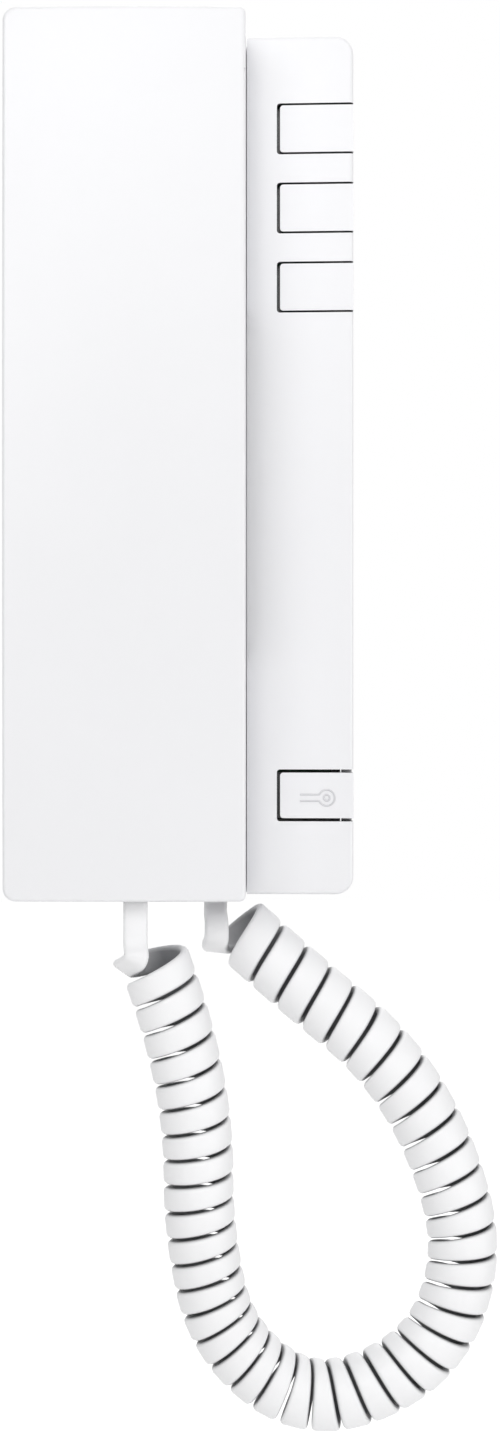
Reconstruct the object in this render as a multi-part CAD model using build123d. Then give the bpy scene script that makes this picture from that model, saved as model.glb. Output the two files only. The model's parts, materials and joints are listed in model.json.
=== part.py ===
from build123d import *
import math
import os

# Wall-mounted audio door station: a flat base, a full-height handset on its left and a curly cord.
# +Z is up, the wall is the plane Y = 0, and the front faces -Y. The origin is the middle of the two
# wall screws. Depths are measured from the wall towards the room. All lengths are in millimetres.

# Whole station
bodyWidth = 85.0
bodyHeight = 214.0
cradleDepth = 14.0  # wall to the cradle floor behind the handset
columnDepth = 20.6  # wall to the front of the button column, at its inner edge
columnOuterDepth = 22.0  # the same at the column's outer edge
handsetDepth = 45.0  # wall to the handset's face
columnWidth = 26.3
skinWall = 2.2
slip = 0.3  # clearance round what slides or drops in
snug = 0.1  # clearance round a fixed pin in its bore
overrun = 5.0  # how far a cutting shape runs past what it cuts

# Front cover
coverLift = 0.6  # shadow gap between the cover's rim and the wall
coverCornerR = 4.5
columnGap = 0.5  # between the handset's side and the column
coverEdgeR = 0.9
soundSlotLength = 22.0
soundSlotWidth = 1.6
soundSlotPitch = 4.0
soundSlotCount = 5
soundSlotsRise = 55.0  # station's bottom to the middle of the slots

# Hook lug on the cradle, which the handset hangs on, and the locating nub below it
lugWidth = 20.0
lugHeight = 14.0
lugDepth = 4.5
lugDrop = 52.5  # station's top to the lug's middle
lugCornerR = 2.0
nubWidth = 16.0
nubHeight = 8.0
nubDepth = 3.0
nubRise = 45.0  # station's bottom to the nub's middle

# Buttons of the column
buttonInset = 8.0  # column's inner edge to the buttons
callButtonHeight = 11.7
doorButtonHeight = 11.35
buttonSideGap = 0.8
callButtonGap = 0.5
doorButtonGap = 0.8
callButtonDrop = 23.0  # station's top to the middle of the first button
callButtonPitch = 19.75
callButtonCount = 3
doorButtonRise = 24.7  # station's bottom to the button's middle
buttonTravel = 0.8
buttonLip = 7.0  # how far the cap wraps round the base's side
buttonWall = 1.5
buttonCornerR = 0.8
buttonCatch = 1.0
buttonStemR = 2.0
switchInset = 11.0  # station's right side to the switches' middle

# Wall plate
plateThickness = 2.4
wallScrewSpacing = 60.0
wallScrewR = 2.25
cableEntryWidth = 28.0
cableEntryHeight = 30.0
cableEntryR = 4.0
plateRibHeight = 2.0
plateRibWidth = 1.4
topLugWidth = 12.0
topLugHeight = 3.2
topLugInset = 16.5  # station's side to the lug's middle

# Circuit board
boardBack = 5.0
boardThickness = 1.6
boardSideGap = 5.0  # station's sides to the board's
boardTopGap = 8.0
boardBottomGap = 19.0
boardWindowMargin = 6.0  # round the cable entry and the wall screws
boardWindowR = 3.0
boardCornerR = 2.0
boardBossR = 3.2
boardScrewInset = 4.5  # board's side to the screw's middle
boardScrewDrop = 5.0  # board's top to the upper screws
boardScrewRise = 18.0  # board's bottom to the lower screws
boardScrewR = 1.25
boardScrewHeadR = 2.5
boardScrewHeadHeight = 1.6
boardScrewLength = 5.0

# Switches on the board
switchSide = 6.0
switchHeight = 3.5
switchBoreR = 1.9
switchBoreDepth = 2.6
switchPinR = 1.6
switchPinRise = 0.9
switchPinLength = 1.6

# Hook plunger, its spring and its switch
plungerR = 3.2
plungerWall = 0.9
plungerFlangeR = 4.3
plungerFlangeHeight = 1.0
plungerTravel = 3.0
plungerTailR = 0.9
plungerTipR = 1.0
hookSwitchSide = 8.0
hookSwitchHeight = 2.4
hookSwitchBoreR = 1.3
hookSwitchFloor = 0.6
springR = 1.9  # to the middle of the wire
springWire = 0.5
springTurns = 6
springSteps = 10

# Sounder and terminals
sounderR = 12.5
sounderHeight = 4.2
sounderHoleR = 1.5
sounderShift = 0.4  # to the right of the cradle's middle
terminalInset = 13.0  # station's right side to the block's middle
terminalZ = -22.0
terminalWidth = 9.0
terminalHeight = 8.5
terminalPitch = 5.0
terminalCount = 8
terminalWireR = 1.3
terminalScrewR = 1.7
terminalScrewDeep = 4.0
terminalSlotWidth = 0.6
terminalSlotDeep = 0.7

# Cord sockets and plugs
plugWidth = 7.7
plugThickness = 6.2
plugLength = 12.0
plugEdge = 0.6
plugLatchWidth = 3.2
plugLatchRise = 0.8
plugLatchLength = 7.0
socketWall = 1.0
socketLength = 15.0
handsetPlugShift = 2.3  # to the right of the handset's middle
handsetPlugInset = 9.5  # behind the handset's face
basePlugInset = 7.8  # to the left of the handset's right side
basePlugDepth = 7.1

# Cover screw, upwards into the wall plate's block
coverScrewInset = 18.5  # from the station's left side
coverScrewDepth = 7.0
coverScrewR = 1.5
coverScrewHeadR = 2.8
coverScrewHeadHeight = 1.8
coverScrewLength = 11.0
coverScrewSink = 0.6
coverBlockWidth = 9.0
coverBlockHeight = 9.0
coverBlockDepth = 8.2

# Handset shells
frontShellDepth = 14.0  # parting line to the handset's face
handsetWall = 2.0
handsetCornerLeftR = 3.2
handsetCornerRightR = 1.5
handsetEdgeR = 0.9
partingGap = 0.2
faceCrownAcross = 0.7  # how far the face falls back at its long edges
faceCrownAlong = 1.0  # and at its short edges
gripThickness = 18.0
gripDrop = 73.0  # station's top to the hollow of the grip
gripRise = 63.0  # and the station's bottom to it
gripSlope = 10.0
gripBlendR = 6.0
handsetSlip = 0.3  # between the handset's back and the cradle floor
earDrop = 25.0  # station's top to the middle of the ear cup
dishR = 17.5
dishDeep = 3.0
dishSlope = 45.0  # degrees that its side leans in
earHoleR = 1.0
earRingR = 5.0
innerHoleCount = 6
outerHoleCount = 12
mouthRise = 17.0  # station's bottom to the middle of the mouthpiece
mouthHoleR = 0.8
mouthRingR = 2.4
mouthHoleCount = 4
handsetScrewInset = 8.0  # ends of the grip's hollow to the screws
handsetScrewR = 1.45
handsetScrewHeadR = 2.7
handsetScrewHeadHeight = 1.6
handsetScrewLength = 10.0
handsetScrewSink = 0.4
handsetBossR = 3.6
lipHeight = 1.2  # tongue of the front shell inside the rear shell
lipWall = 0.9

# Handset insides
foamThickness = 1.0
foamWidth = 3.0
earpieceR = 17.0
earpieceHeight = 7.0
earpieceBackR = 9.0
earpieceBackHeight = 2.5
earRimWall = 1.2
earRimHeight = 5.0
microphoneR = 4.85
microphoneHeight = 4.5
bootWall = 1.6
bootFloor = 1.0
bootHoleR = 2.0
micRimWall = 1.2
micRimHeight = 4.0
ballastWidth = 24.0
ballastThickness = 6.0
ballastR = 2.0
ballastTopGap = 8.0  # upper screw to the ballast
ballastBottomGap = 10.0
ballastPostR = 2.2
ballastPostInset = 7.0  # ballast's ends to its posts

# Curly cord
cordOuterR = 8.7
ribbonThickness = 2.2
gapShare = 0.14  # of the step from turn to turn that stays open
narrowGap = 0.75  # and at least this much where the turns close up
leadWidth = 6.0
leadStraight = 6.0
leadReach = 5.0  # how hard the lead holds on to its own direction as it bends
coilReach = 4.0  # and to the coil's
coilTurns = 42.65
coilSteps = 12
leadSteps = 8
coilStartAngle = 235.0
leastGap = 0.4
coilRoute = [
    (-7.3, -29.0, -121.2),
    (-1.5, -28.5, -136.5),
    (4.0, -27.0, -163.0),
    (4.0, -26.0, -190.0),
    (10.0, -25.0, -217.5),
    (32.5, -23.5, -234.5),
    (61.5, -21.5, -223.0),
    (72.0, -19.0, -198.0),
    (65.0, -17.0, -170.5),
    (51.0, -15.0, -147.5),
    (29.0, -12.5, -130.0),
    (13.0, -10.5, -115.7),
]
pitchShares = [1.07, 1.02, 0.97, 0.92, 0.84, 0.87, 0.94, 0.95, 0.94, 1.0, 1.08, 1.16, 1.26]
cornerShare = 0.45  # of the shorter run, taken by each rounded corner of the route
facingShare = 0.5  # how squarely a face looks out of the wall to count as a front face

# Worked out from the sizes above
left = -bodyWidth / 2
right = bodyWidth / 2
top = bodyHeight / 2
bottom = -bodyHeight / 2
columnLeft = right - columnWidth
handsetRight = columnLeft - columnGap
handsetX = (left + handsetRight) / 2
handsetBack = cradleDepth + handsetSlip
partingDepth = handsetDepth - frontShellDepth
gripDepth = handsetDepth - gripThickness
gripTop = top - gripDrop
gripBottom = bottom + gripRise
earZ = top - earDrop
mouthZ = bottom + mouthRise
lugZ = top - lugDrop
nubZ = bottom + nubRise
soundSlotsZ = bottom + soundSlotsRise
handsetScrewTopZ = gripTop - handsetScrewInset
handsetScrewBottomZ = gripBottom + handsetScrewInset
ballastTop = handsetScrewTopZ - ballastTopGap
ballastBottom = handsetScrewBottomZ + ballastBottomGap
buttonLeft = columnLeft + buttonInset
buttonX = right - switchInset
callButtonTop = top - callButtonDrop
doorButtonZ = bottom + doorButtonRise
topLugX = right - topLugInset
boardFront = boardBack + boardThickness
boardHalf = right - boardSideGap
boardTop = top - boardTopGap
boardBottom = bottom + boardBottomGap
boardScrewX = boardHalf - boardScrewInset
boardScrewTopZ = boardTop - boardScrewDrop
boardScrewBottomZ = boardBottom + boardScrewRise
sounderX = handsetX + sounderShift
terminalX = right - terminalInset
handsetPlugX = handsetX + handsetPlugShift
handsetPlugDepth = handsetDepth - handsetPlugInset
basePlugX = handsetRight - basePlugInset
coverScrewX = left + coverScrewInset
lugTop = cradleDepth + lugDepth
nubTop = cradleDepth + nubDepth
cradleInner = cradleDepth - skinWall
columnInner = columnDepth - skinWall
callButtonsZ = [callButtonTop - i * callButtonPitch for i in range(callButtonCount)]
switchTop = boardFront + switchHeight + switchPinRise
coilR = cordOuterR - ribbonThickness / 2


# A closed outline on the wall plane, raised from one depth to another
def prism(outline, near, far):
    return extrude(Plane.XZ.offset(near) * outline, far - near)


# A round pin square to the wall, from one depth to another
def pin(x, z, radius, near, far):
    return prism(Pos(x, z) * Circle(radius), near, far)


# A profile of width against depth, carried down the whole height
def carried_down(points, high, low):
    across = Plane((0, 0, high), x_dir=(1, 0, 0), z_dir=(0, 0, -1))
    return extrude(across * make_face(Polyline(*points, close=True)), high - low)


# A profile of depth against height, carried across from right to left
def carried_across(face, from_x, to_x):
    side = Plane((from_x, 0, 0), x_dir=(0, -1, 0), z_dir=(-1, 0, 0))
    return extrude(side * face, from_x - to_x)


# A rectangle on the wall plane between two corners
def patch(x0, x1, z0, z1):
    return Pos((x0 + x1) / 2, (z0 + z1) / 2) * Rectangle(x1 - x0, z1 - z0)


def rounded_patch(x0, x1, z0, z1, radius):
    return Pos((x0 + x1) / 2, (z0 + z1) / 2) * RectangleRounded(x1 - x0, z1 - z0, radius)


# Depth of the column's sloping face at a distance across
def column_face(x):
    return columnDepth + (columnOuterDepth - columnDepth) * (x - columnLeft) / columnWidth


# Outer form of the base, set in by a wall all round: a cradle step and a column that leans outwards
def base_form(inset, back):
    slope = (columnOuterDepth - columnDepth) / columnWidth
    step = columnLeft + inset
    profile = [
        (left + inset, back),
        (left + inset, cradleDepth - inset),
        (step, cradleDepth - inset),
        (step, columnDepth - inset + slope * inset),
        (right - inset, columnOuterDepth - inset - slope * inset),
        (right - inset, back),
    ]
    outline = rounded_patch(
        left + inset, right - inset, bottom + inset, top - inset, coverCornerR - inset
    )
    return carried_down(profile, top, bottom) & prism(outline, back, columnOuterDepth + overrun)


def button_list():
    calls = [
        (f"call_button_{i + 1}", z, callButtonHeight, callButtonGap) for i, z in enumerate(callButtonsZ)
    ]
    return calls + [("door_button", doorButtonZ, doorButtonHeight, doorButtonGap)]


# Column cut-out for one button, open through the base's right side
def button_opening(z, height, gap):
    half = height / 2 + gap
    near = columnDepth - buttonLip - buttonTravel - gap
    low_x = buttonLeft - buttonSideGap
    outline = rounded_patch(low_x, right + overrun, z - half, z + half, buttonCornerR)
    return prism(outline, near, columnOuterDepth + overrun)


def front_cover():
    outer = base_form(0, coverLift)
    edges = outer.faces().filter_by(lambda f: f.normal_at().Y < -facingShare).edges()
    rim = [e for e in edges if abs(e.center().X - columnLeft) > slip and e.center().Y < -cradleInner]
    outer = fillet(rim, coverEdgeR)
    shell = outer - base_form(skinWall, coverLift - overrun)
    lug = prism(
        Pos(handsetX, lugZ) * RectangleRounded(lugWidth, lugHeight, lugCornerR), cradleInner, lugTop
    )
    lug_inside = prism(
        Pos(handsetX, lugZ) * Rectangle(lugWidth - 2 * skinWall, lugHeight - 2 * skinWall),
        cradleInner - overrun,
        lugTop - skinWall,
    )
    nub = RectangleRounded(nubWidth, nubHeight, lugCornerR)
    nub = prism(Pos(handsetX, nubZ) * nub, cradleInner, nubTop)
    shell = shell + lug + nub - lug_inside
    shell -= pin(handsetX, lugZ, plungerR + slip, 0, handsetDepth)
    for i in range(soundSlotCount):
        z = soundSlotsZ + (i - (soundSlotCount - 1) / 2) * soundSlotPitch
        slot = Pos(handsetX, z) * SlotOverall(soundSlotLength, soundSlotWidth)
        shell -= prism(slot, cradleInner - overrun, cradleDepth + slip)
    for _, z, height, gap in button_list():
        shell -= button_opening(z, height, gap)
    cord_half = plugWidth / 2 + slip
    cord_hole = patch(basePlugX - cord_half, basePlugX + cord_half, bottom - overrun, bottom + skinWall)
    shell -= prism(
        cord_hole, basePlugDepth - plugThickness / 2 - slip, basePlugDepth + plugThickness / 2 + slip
    )
    # screw hole and its sunk seat in the bottom wall
    shell -= upright(coverScrewX, coverScrewDepth, coverScrewR + slip, bottom - overrun, bottom + skinWall)
    seat = bottom + coverScrewSink + coverScrewHeadHeight
    pad = prism(
        patch(
            coverScrewX - coverBlockWidth / 2,
            coverScrewX + coverBlockWidth / 2,
            bottom + skinWall / 2,
            seat + skinWall / 2,
        ),
        coverScrewDepth - coverScrewHeadR - skinWall / 2,
        cradleInner + skinWall / 2,
    )
    shell = shell + pad
    shell -= upright(coverScrewX, coverScrewDepth, coverScrewR + slip, bottom - overrun, seat + skinWall)
    shell -= upright(coverScrewX, coverScrewDepth, coverScrewHeadR + slip, bottom - overrun, seat)
    # ribs inside the top wall that hold the wall plate's lugs
    for x in (-topLugX, topLugX):
        half = topLugWidth / 2
        rib = patch(x - half, x + half, top - skinWall - topLugHeight, top - skinWall / 2)
        near = plateThickness + topLugHeight + slip
        shell += prism(rib, near, near + plateRibWidth)
    return shell


# An upright pin, from one height to another
def upright(x, depth, radius, low, high):
    return Pos(x, -depth, low) * extrude(Circle(radius), high - low)


def wall_plate():
    inset = skinWall + slip
    corner = coverCornerR - skinWall
    outline = rounded_patch(left + inset, right - inset, bottom + inset, top - inset, corner)
    plate = prism(outline, 0, plateThickness)
    window = rounded_patch(
        -cableEntryWidth / 2, cableEntryWidth / 2, -cableEntryHeight / 2, cableEntryHeight / 2, cableEntryR
    )
    collar = offset(window, plateRibWidth)
    plate += prism(collar, plateThickness, plateThickness + plateRibHeight)
    plate -= prism(window, -overrun, columnDepth)
    for z in (-wallScrewSpacing / 2, wallScrewSpacing / 2):
        plate -= pin(0, z, wallScrewR, -overrun, columnDepth)
    for x, z in board_screw_places():
        plate += pin(x, z, boardBossR, plateThickness, boardBack)
        plate -= pin(x, z, boardScrewR + snug, boardFront - boardScrewLength - snug, boardFront)
    for x in (-topLugX, topLugX):
        lug = patch(x - topLugWidth / 2, x + topLugWidth / 2, top - inset - plateRibHeight, top - inset)
        plate += prism(lug, plateThickness, plateThickness + topLugHeight)
    # block for the cover screw
    low = bottom + coverScrewSink + coverScrewHeadHeight + skinWall / 2 + slip
    high = low + coverBlockHeight
    block = patch(coverScrewX - coverBlockWidth / 2, coverScrewX + coverBlockWidth / 2, low, high)
    plate += prism(block, plateThickness, plateThickness + coverBlockDepth)
    plate -= upright(coverScrewX, coverScrewDepth, coverScrewR + snug, low - overrun, high)
    return plate


def cover_screw():
    low = bottom + coverScrewSink
    head = upright(coverScrewX, coverScrewDepth, coverScrewHeadR, low, low + coverScrewHeadHeight)
    head -= Pos(coverScrewX, -coverScrewDepth, low) * extrude(
        Rectangle(coverScrewHeadR, terminalSlotWidth), terminalSlotDeep
    )
    return head + upright(coverScrewX, coverScrewDepth, coverScrewR, low, low + coverScrewLength)


def board_screw_places():
    return [(x, z) for x in (-boardScrewX, boardScrewX) for z in (boardScrewTopZ, boardScrewBottomZ)]


def circuit_board():
    outline = rounded_patch(-boardHalf, boardHalf, boardBottom, boardTop, boardCornerR)
    window = RectangleRounded(
        cableEntryWidth + 2 * boardWindowMargin, wallScrewSpacing + 2 * boardWindowMargin, boardWindowR
    )
    board = prism(outline - window, boardBack, boardFront)
    for x, z in board_screw_places():
        board -= pin(x, z, boardScrewR + snug, 0, columnDepth)
    return board


def board_screws():
    screws = []
    for x, z in board_screw_places():
        screw = pin(x, z, boardScrewHeadR, boardFront, boardFront + boardScrewHeadHeight)
        screw += pin(x, z, boardScrewR, boardFront - boardScrewLength, boardFront)
        slot = Pos(x, z) * Rectangle(boardScrewHeadR, terminalSlotWidth)
        screw -= prism(slot, boardFront + boardScrewHeadHeight - terminalSlotDeep, columnDepth)
        screws.append(screw)
    return Compound(children=[s.solid() for s in screws])


# Square push switches on the board, one behind each button
def push_switches():
    bodies = []
    for _, z, _, _ in button_list():
        top_face = boardFront + switchHeight
        body = prism(Pos(buttonX, z) * Rectangle(switchSide, switchSide), boardFront, top_face)
        body -= pin(buttonX, z, switchBoreR, top_face - switchBoreDepth, top_face + overrun)
        bodies.append(body.solid())
    return Compound(children=bodies)


def switch_pin(z):
    return pin(buttonX, z, switchPinR, switchTop - switchPinLength - switchPinRise, switchTop)


# Cap that takes the column's own form, wraps round its side and is caught behind the cover's wall
def button_cap(z, height):
    half = height / 2
    lip = columnDepth - buttonLip
    outline = rounded_patch(buttonLeft, right + overrun, z - half, z + half, buttonCornerR)
    block = base_form(0, coverLift) & prism(outline, lip, columnOuterDepth + overrun)
    hollow = base_form(buttonWall, coverLift - overrun) & prism(
        patch(buttonLeft + buttonWall, right, z - half + buttonWall, z + half - buttonWall),
        0,
        columnOuterDepth + overrun,
    )
    cap = block - hollow
    catch_far = columnInner - slip
    ring = patch(buttonLeft - buttonSideGap - buttonCatch, buttonLeft + buttonWall, z - half, z + half)
    cap += prism(ring, catch_far - buttonWall, catch_far) & base_form(skinWall, 0)
    return cap + pin(buttonX, z, buttonStemR, switchTop, column_face(buttonX) - buttonWall / 2)


def hook_switch():
    top_face = boardFront + hookSwitchHeight
    body = prism(Pos(handsetX, lugZ) * Rectangle(hookSwitchSide, hookSwitchSide), boardFront, top_face)
    return body - pin(handsetX, lugZ, hookSwitchBoreR, boardFront + hookSwitchFloor, top_face + overrun)


def plunger_roof():
    return lugTop - plungerWall


def hook_plunger():
    flange = lugTop - skinWall - slip - plungerTravel
    tip = pin(handsetX, lugZ, plungerR, flange, lugTop)
    tip = fillet(tip.edges().group_by(Axis.Y)[0], plungerTipR)
    skirt = pin(handsetX, lugZ, plungerFlangeR, flange - plungerFlangeHeight, flange)
    cup = tip + skirt
    cup -= pin(handsetX, lugZ, plungerR - plungerWall, 0, plunger_roof())
    tail = pin(handsetX, lugZ, plungerTailR, boardFront + hookSwitchFloor + slip, plunger_roof())
    return cup + tail


# Closed ribbon through a section at each point: middle, direction of its width, outward direction, width
def ribbon(sections, thickness):
    wires = []
    for middle, along, outward, width in sections:
        across = along * (width / 2)
        deep = outward * (thickness / 2)
        inner = [middle - across - deep, middle + across - deep]
        outer = [middle + across + deep, middle - across + deep]
        wires.append(Wire.make_polygon(inner + outer))
    return Solid.make_loft(wires, ruled=True)


def hook_spring():
    near = boardFront + hookSwitchHeight + springWire / 2 + slip
    far = plunger_roof() - springWire / 2 - slip
    sections = []
    for i in range(springTurns * springSteps + 1):
        angle = math.tau * i / springSteps
        depth = near + (far - near) * i / (springTurns * springSteps)
        outward = Vector(math.cos(angle), 0, math.sin(angle))
        middle = Vector(handsetX, -depth, lugZ) + outward * springR
        sections.append((middle, Vector(0, 1, 0), outward, springWire))
    return ribbon(sections, springWire)


def sounder():
    can = pin(sounderX, soundSlotsZ, sounderR, boardFront, boardFront + sounderHeight)
    can = fillet(can.edges().group_by(Axis.Y)[0], sounderHoleR / 2)
    return can - pin(
        sounderX, soundSlotsZ, sounderHoleR, boardFront + sounderHeight / 2, boardFront + sounderHeight
    )


def terminal_places():
    span = (terminalCount - 1) * terminalPitch
    return [terminalZ - span / 2 + i * terminalPitch for i in range(terminalCount)]


def terminal_block():
    half = terminalCount * terminalPitch / 2
    outline = patch(
        terminalX - terminalWidth / 2, terminalX + terminalWidth / 2, terminalZ - half, terminalZ + half
    )
    block = prism(outline, boardFront, boardFront + terminalHeight)
    uprights = block.edges().filter_by(Axis.Z)
    edge = [e for e in uprights if e.center().X < terminalX and e.center().Y < -boardFront - slip]
    block = chamfer(edge, terminalWireR)
    for z in terminal_places():
        block -= pin(terminalX, z, terminalScrewR + snug, boardFront + terminalScrewDeep, columnDepth)
        mouth = patch(terminalX - terminalWidth, terminalX, z - terminalWireR, z + terminalWireR)
        block -= prism(mouth, boardFront + snug, boardFront + snug + 2 * terminalWireR)
    return block


def terminal_screws():
    screws = []
    far = boardFront + terminalHeight - terminalSlotDeep
    for z in terminal_places():
        screw = pin(terminalX, z, terminalScrewR, boardFront + terminalScrewDeep, far)
        slot = Pos(terminalX, z) * Rectangle(terminalScrewR * 2, terminalSlotWidth)
        screws.append((screw - prism(slot, far - terminalSlotDeep, far)).solid())
    return Compound(children=screws)


# Plug with its latch, pushed up into a socket from the body's bottom face
def cord_plug(x, depth):
    outline = patch(x - plugWidth / 2, x + plugWidth / 2, bottom, bottom + plugLength)
    plug = prism(outline, depth - plugThickness / 2, depth + plugThickness / 2 - plugLatchRise)
    plug = chamfer(plug.edges().group_by(Axis.Z)[-1], plugEdge)
    half = plugLatchWidth / 2
    latch = patch(x - half, x + half, bottom + socketWall, bottom + plugLatchLength)
    return plug + prism(latch, depth, depth + plugThickness / 2)


def cord_socket(x, depth, floor):
    wide = plugWidth / 2 + slip + socketWall
    deep = plugThickness / 2 + slip + socketWall
    low = bottom + floor + slip
    box = prism(patch(x - wide, x + wide, low, bottom + socketLength), depth - deep, depth + deep)
    cavity = patch(x - wide + socketWall, x + wide - socketWall, bottom, bottom + plugLength + slip)
    return box - prism(cavity, depth - deep + socketWall, depth + deep - socketWall)


def handset_outline(inset):
    low = bottom + inset
    high = top - inset
    corners = rounded_patch(left + inset, handsetRight - inset, low, high, handsetCornerRightR)
    return corners & rounded_patch(
        left + inset, handsetRight + overrun, low, high, handsetCornerLeftR - inset / 2
    )


# Space under the crowned face, set in by a wall: an arc across, turned about a far axis along the length
def face_form(inset):
    face = handsetDepth - inset
    edge = face - faceCrownAcross
    turn = (top**2 + faceCrownAlong**2) / (2 * faceCrownAlong)
    axis = Axis((0, turn - handsetDepth, 0), (1, 0, 0))
    reach = math.degrees(math.asin((top + overrun) / turn))
    arc = ThreePointArc((left, edge), (handsetX, face), (handsetRight, edge))
    sides = Polyline((handsetRight, edge), (handsetRight, 0), (left, 0), (left, edge))
    across = Plane((0, 0, 0), x_dir=(1, 0, 0), z_dir=(0, 0, -1))
    profile = (across * make_face(arc + sides)).rotate(axis, -reach)
    return revolve(profile, axis, 2 * reach)


def handset_screw_places():
    return [handsetScrewTopZ, handsetScrewBottomZ]


def ballast_posts():
    return [ballastBottom + ballastPostInset, ballastTop - ballastPostInset]


def handset_front():
    near = partingDepth + partingGap
    outer = prism(handset_outline(0), near, handsetDepth) & face_form(0)
    outer = fillet(outer.faces().sort_by(Axis.Y)[0].edges(), handsetEdgeR)
    inner = prism(handset_outline(handsetWall), near - overrun, handsetDepth) & face_form(handsetWall)
    shell = outer - inner
    tongue = handset_outline(handsetWall - lipWall) - handset_outline(handsetWall)
    shell += prism(tongue, partingDepth - lipHeight, near + lipHeight)
    ceiling = handsetDepth - handsetWall - faceCrownAlong / 2
    for z in handset_screw_places():
        shell += pin(handsetX, z, handsetBossR, partingDepth + slip, ceiling + handsetWall / 2)
        bore = gripDepth + handsetScrewSink + handsetScrewHeadHeight + handsetScrewLength + snug
        shell -= pin(handsetX, z, handsetScrewR + snug, partingDepth - overrun, bore)
    opening = patch(
        handsetPlugX - plugWidth / 2 - slip,
        handsetPlugX + plugWidth / 2 + slip,
        bottom - overrun,
        bottom + handsetWall + slip,
    )
    deep = plugThickness / 2 + slip
    return shell - prism(opening, handsetPlugDepth - deep, handsetPlugDepth + deep)


# Side profile of the rear shell: thick ear and mouth ends with a hollowed grip between them
def rear_profile(far):
    corners = [
        (far, top),
        (handsetBack, top),
        (handsetBack, gripTop + gripSlope),
        (gripDepth, gripTop),
        (gripDepth, gripBottom),
        (handsetBack, gripBottom - gripSlope),
        (handsetBack, bottom),
        (far, bottom),
    ]
    face = make_face(Polyline(*corners, close=True))
    blends = [v for v in face.vertices() if abs(v.Y) < gripTop + gripSlope + gripSlope]
    return fillet(blends, gripBlendR)


# Dish sunk into the handset's back, narrowing as it deepens
def ear_dish():
    mouth = Plane.XZ.offset(handsetBack) * (Pos(handsetX, earZ) * Circle(dishR))
    return extrude(mouth, dishDeep, taper=dishSlope)


def ear_floor():
    return handsetBack + dishDeep + handsetWall


def handset_rear():
    outer = carried_across(rear_profile(partingDepth), handsetRight, left)
    outer &= prism(handset_outline(0), 0, partingDepth)
    back_edges = outer.edges().filter_by(lambda e: abs(e.center().Y + handsetBack) < snug)
    rim = back_edges.filter_by(lambda e: abs(e.center().Z) > gripTop + gripTop)
    outer = fillet(rim, handsetEdgeR)
    inner = carried_across(offset(rear_profile(partingDepth + overrun), -handsetWall), handsetRight, left)
    shell = outer - (inner & prism(handset_outline(handsetWall), 0, handsetDepth))
    # dished ear cup with its holes, and a rim for the capsule behind it
    shell += pin(handsetX, earZ, dishR + handsetWall, handsetBack + handsetWall / 2, ear_floor())
    shell -= ear_dish()
    for ring, count in ((0, 1), (earRingR, innerHoleCount), (2 * earRingR, outerHoleCount)):
        for spot in PolarLocations(ring, count):
            place = spot.position
            shell -= pin(handsetX + place.X, earZ + place.Y, earHoleR, handsetBack, ear_floor() + slip)
    rim = Circle(earpieceR + slip + earRimWall) - Circle(earpieceR + slip)
    shell += prism(Pos(handsetX, earZ) * rim, ear_floor() - handsetWall / 2, ear_floor() + earRimHeight)
    # mouthpiece holes and the microphone's rim
    for spot in PolarLocations(mouthRingR, mouthHoleCount):
        place = spot.position
        shell -= pin(handsetX + place.X, mouthZ + place.Y, mouthHoleR, 0, handsetBack + handsetWall + slip)
    outer_r = microphoneR + bootWall + slip
    rim = Circle(outer_r + micRimWall) - Circle(outer_r)
    floor = handsetBack + handsetWall
    shell += prism(Pos(handsetX, mouthZ) * rim, floor - handsetWall / 2, floor + micRimHeight)
    # pockets that drop over the cradle's lug and nub
    pockets = (
        (lugZ, lugWidth, lugHeight, lugTop + slip),
        (nubZ, nubWidth, nubHeight, nubTop + slip),
    )
    for z, width, height, deep in pockets:
        wall = 2 * (slip + handsetWall)
        around = Pos(handsetX, z) * Rectangle(width + wall, height + wall)
        shell += prism(around, floor - snug, deep + handsetWall)
    for z, width, height, deep in pockets:
        room = RectangleRounded(width + 2 * slip, height + 2 * slip, lugCornerR)
        shell -= prism(Pos(handsetX, z) * room, 0, deep)
    # screw seats, the ballast's posts and the rebate for the front shell's tongue
    seat = gripDepth + handsetScrewSink + handsetScrewHeadHeight
    for z in handset_screw_places():
        collar = handsetScrewHeadR + handsetWall
        shell += pin(handsetX, z, collar, gripDepth + handsetWall / 2, partingDepth)
        shell -= pin(handsetX, z, handsetScrewHeadR + slip, 0, seat)
        shell -= pin(handsetX, z, handsetScrewR + slip, 0, handsetDepth)
    for z in ballast_posts():
        far = gripDepth + handsetWall + ballastThickness
        shell += pin(handsetX, z, ballastPostR, gripDepth + handsetWall / 2, far)
    rebate = handset_outline(handsetWall - lipWall - snug)
    return shell - (prism(rebate, partingDepth - lipHeight - snug, handsetDepth) - prism(
        handset_outline(handsetWall + slip), 0, handsetDepth
    ))


def earpiece_foam():
    ring = Circle(earpieceR) - Circle(earpieceR - foamWidth)
    return prism(Pos(handsetX, earZ) * ring, ear_floor(), ear_floor() + foamThickness)


def earpiece():
    near = ear_floor() + foamThickness
    can = pin(handsetX, earZ, earpieceR, near, near + earpieceHeight)
    can = chamfer(can.edges().group_by(Axis.Y)[0], foamThickness)
    far = near + earpieceHeight + earpieceBackHeight
    return can + pin(handsetX, earZ, earpieceBackR, near + earpieceHeight, far)


def microphone_boot():
    near = handsetBack + handsetWall
    cup = pin(handsetX, mouthZ, microphoneR + bootWall, near, near + bootFloor + microphoneHeight)
    cup -= pin(handsetX, mouthZ, microphoneR, near + bootFloor, handsetDepth)
    return cup - pin(handsetX, mouthZ, bootHoleR, 0, near + bootFloor)


def microphone():
    near = handsetBack + handsetWall + bootFloor
    return pin(handsetX, mouthZ, microphoneR, near, near + microphoneHeight)


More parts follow.
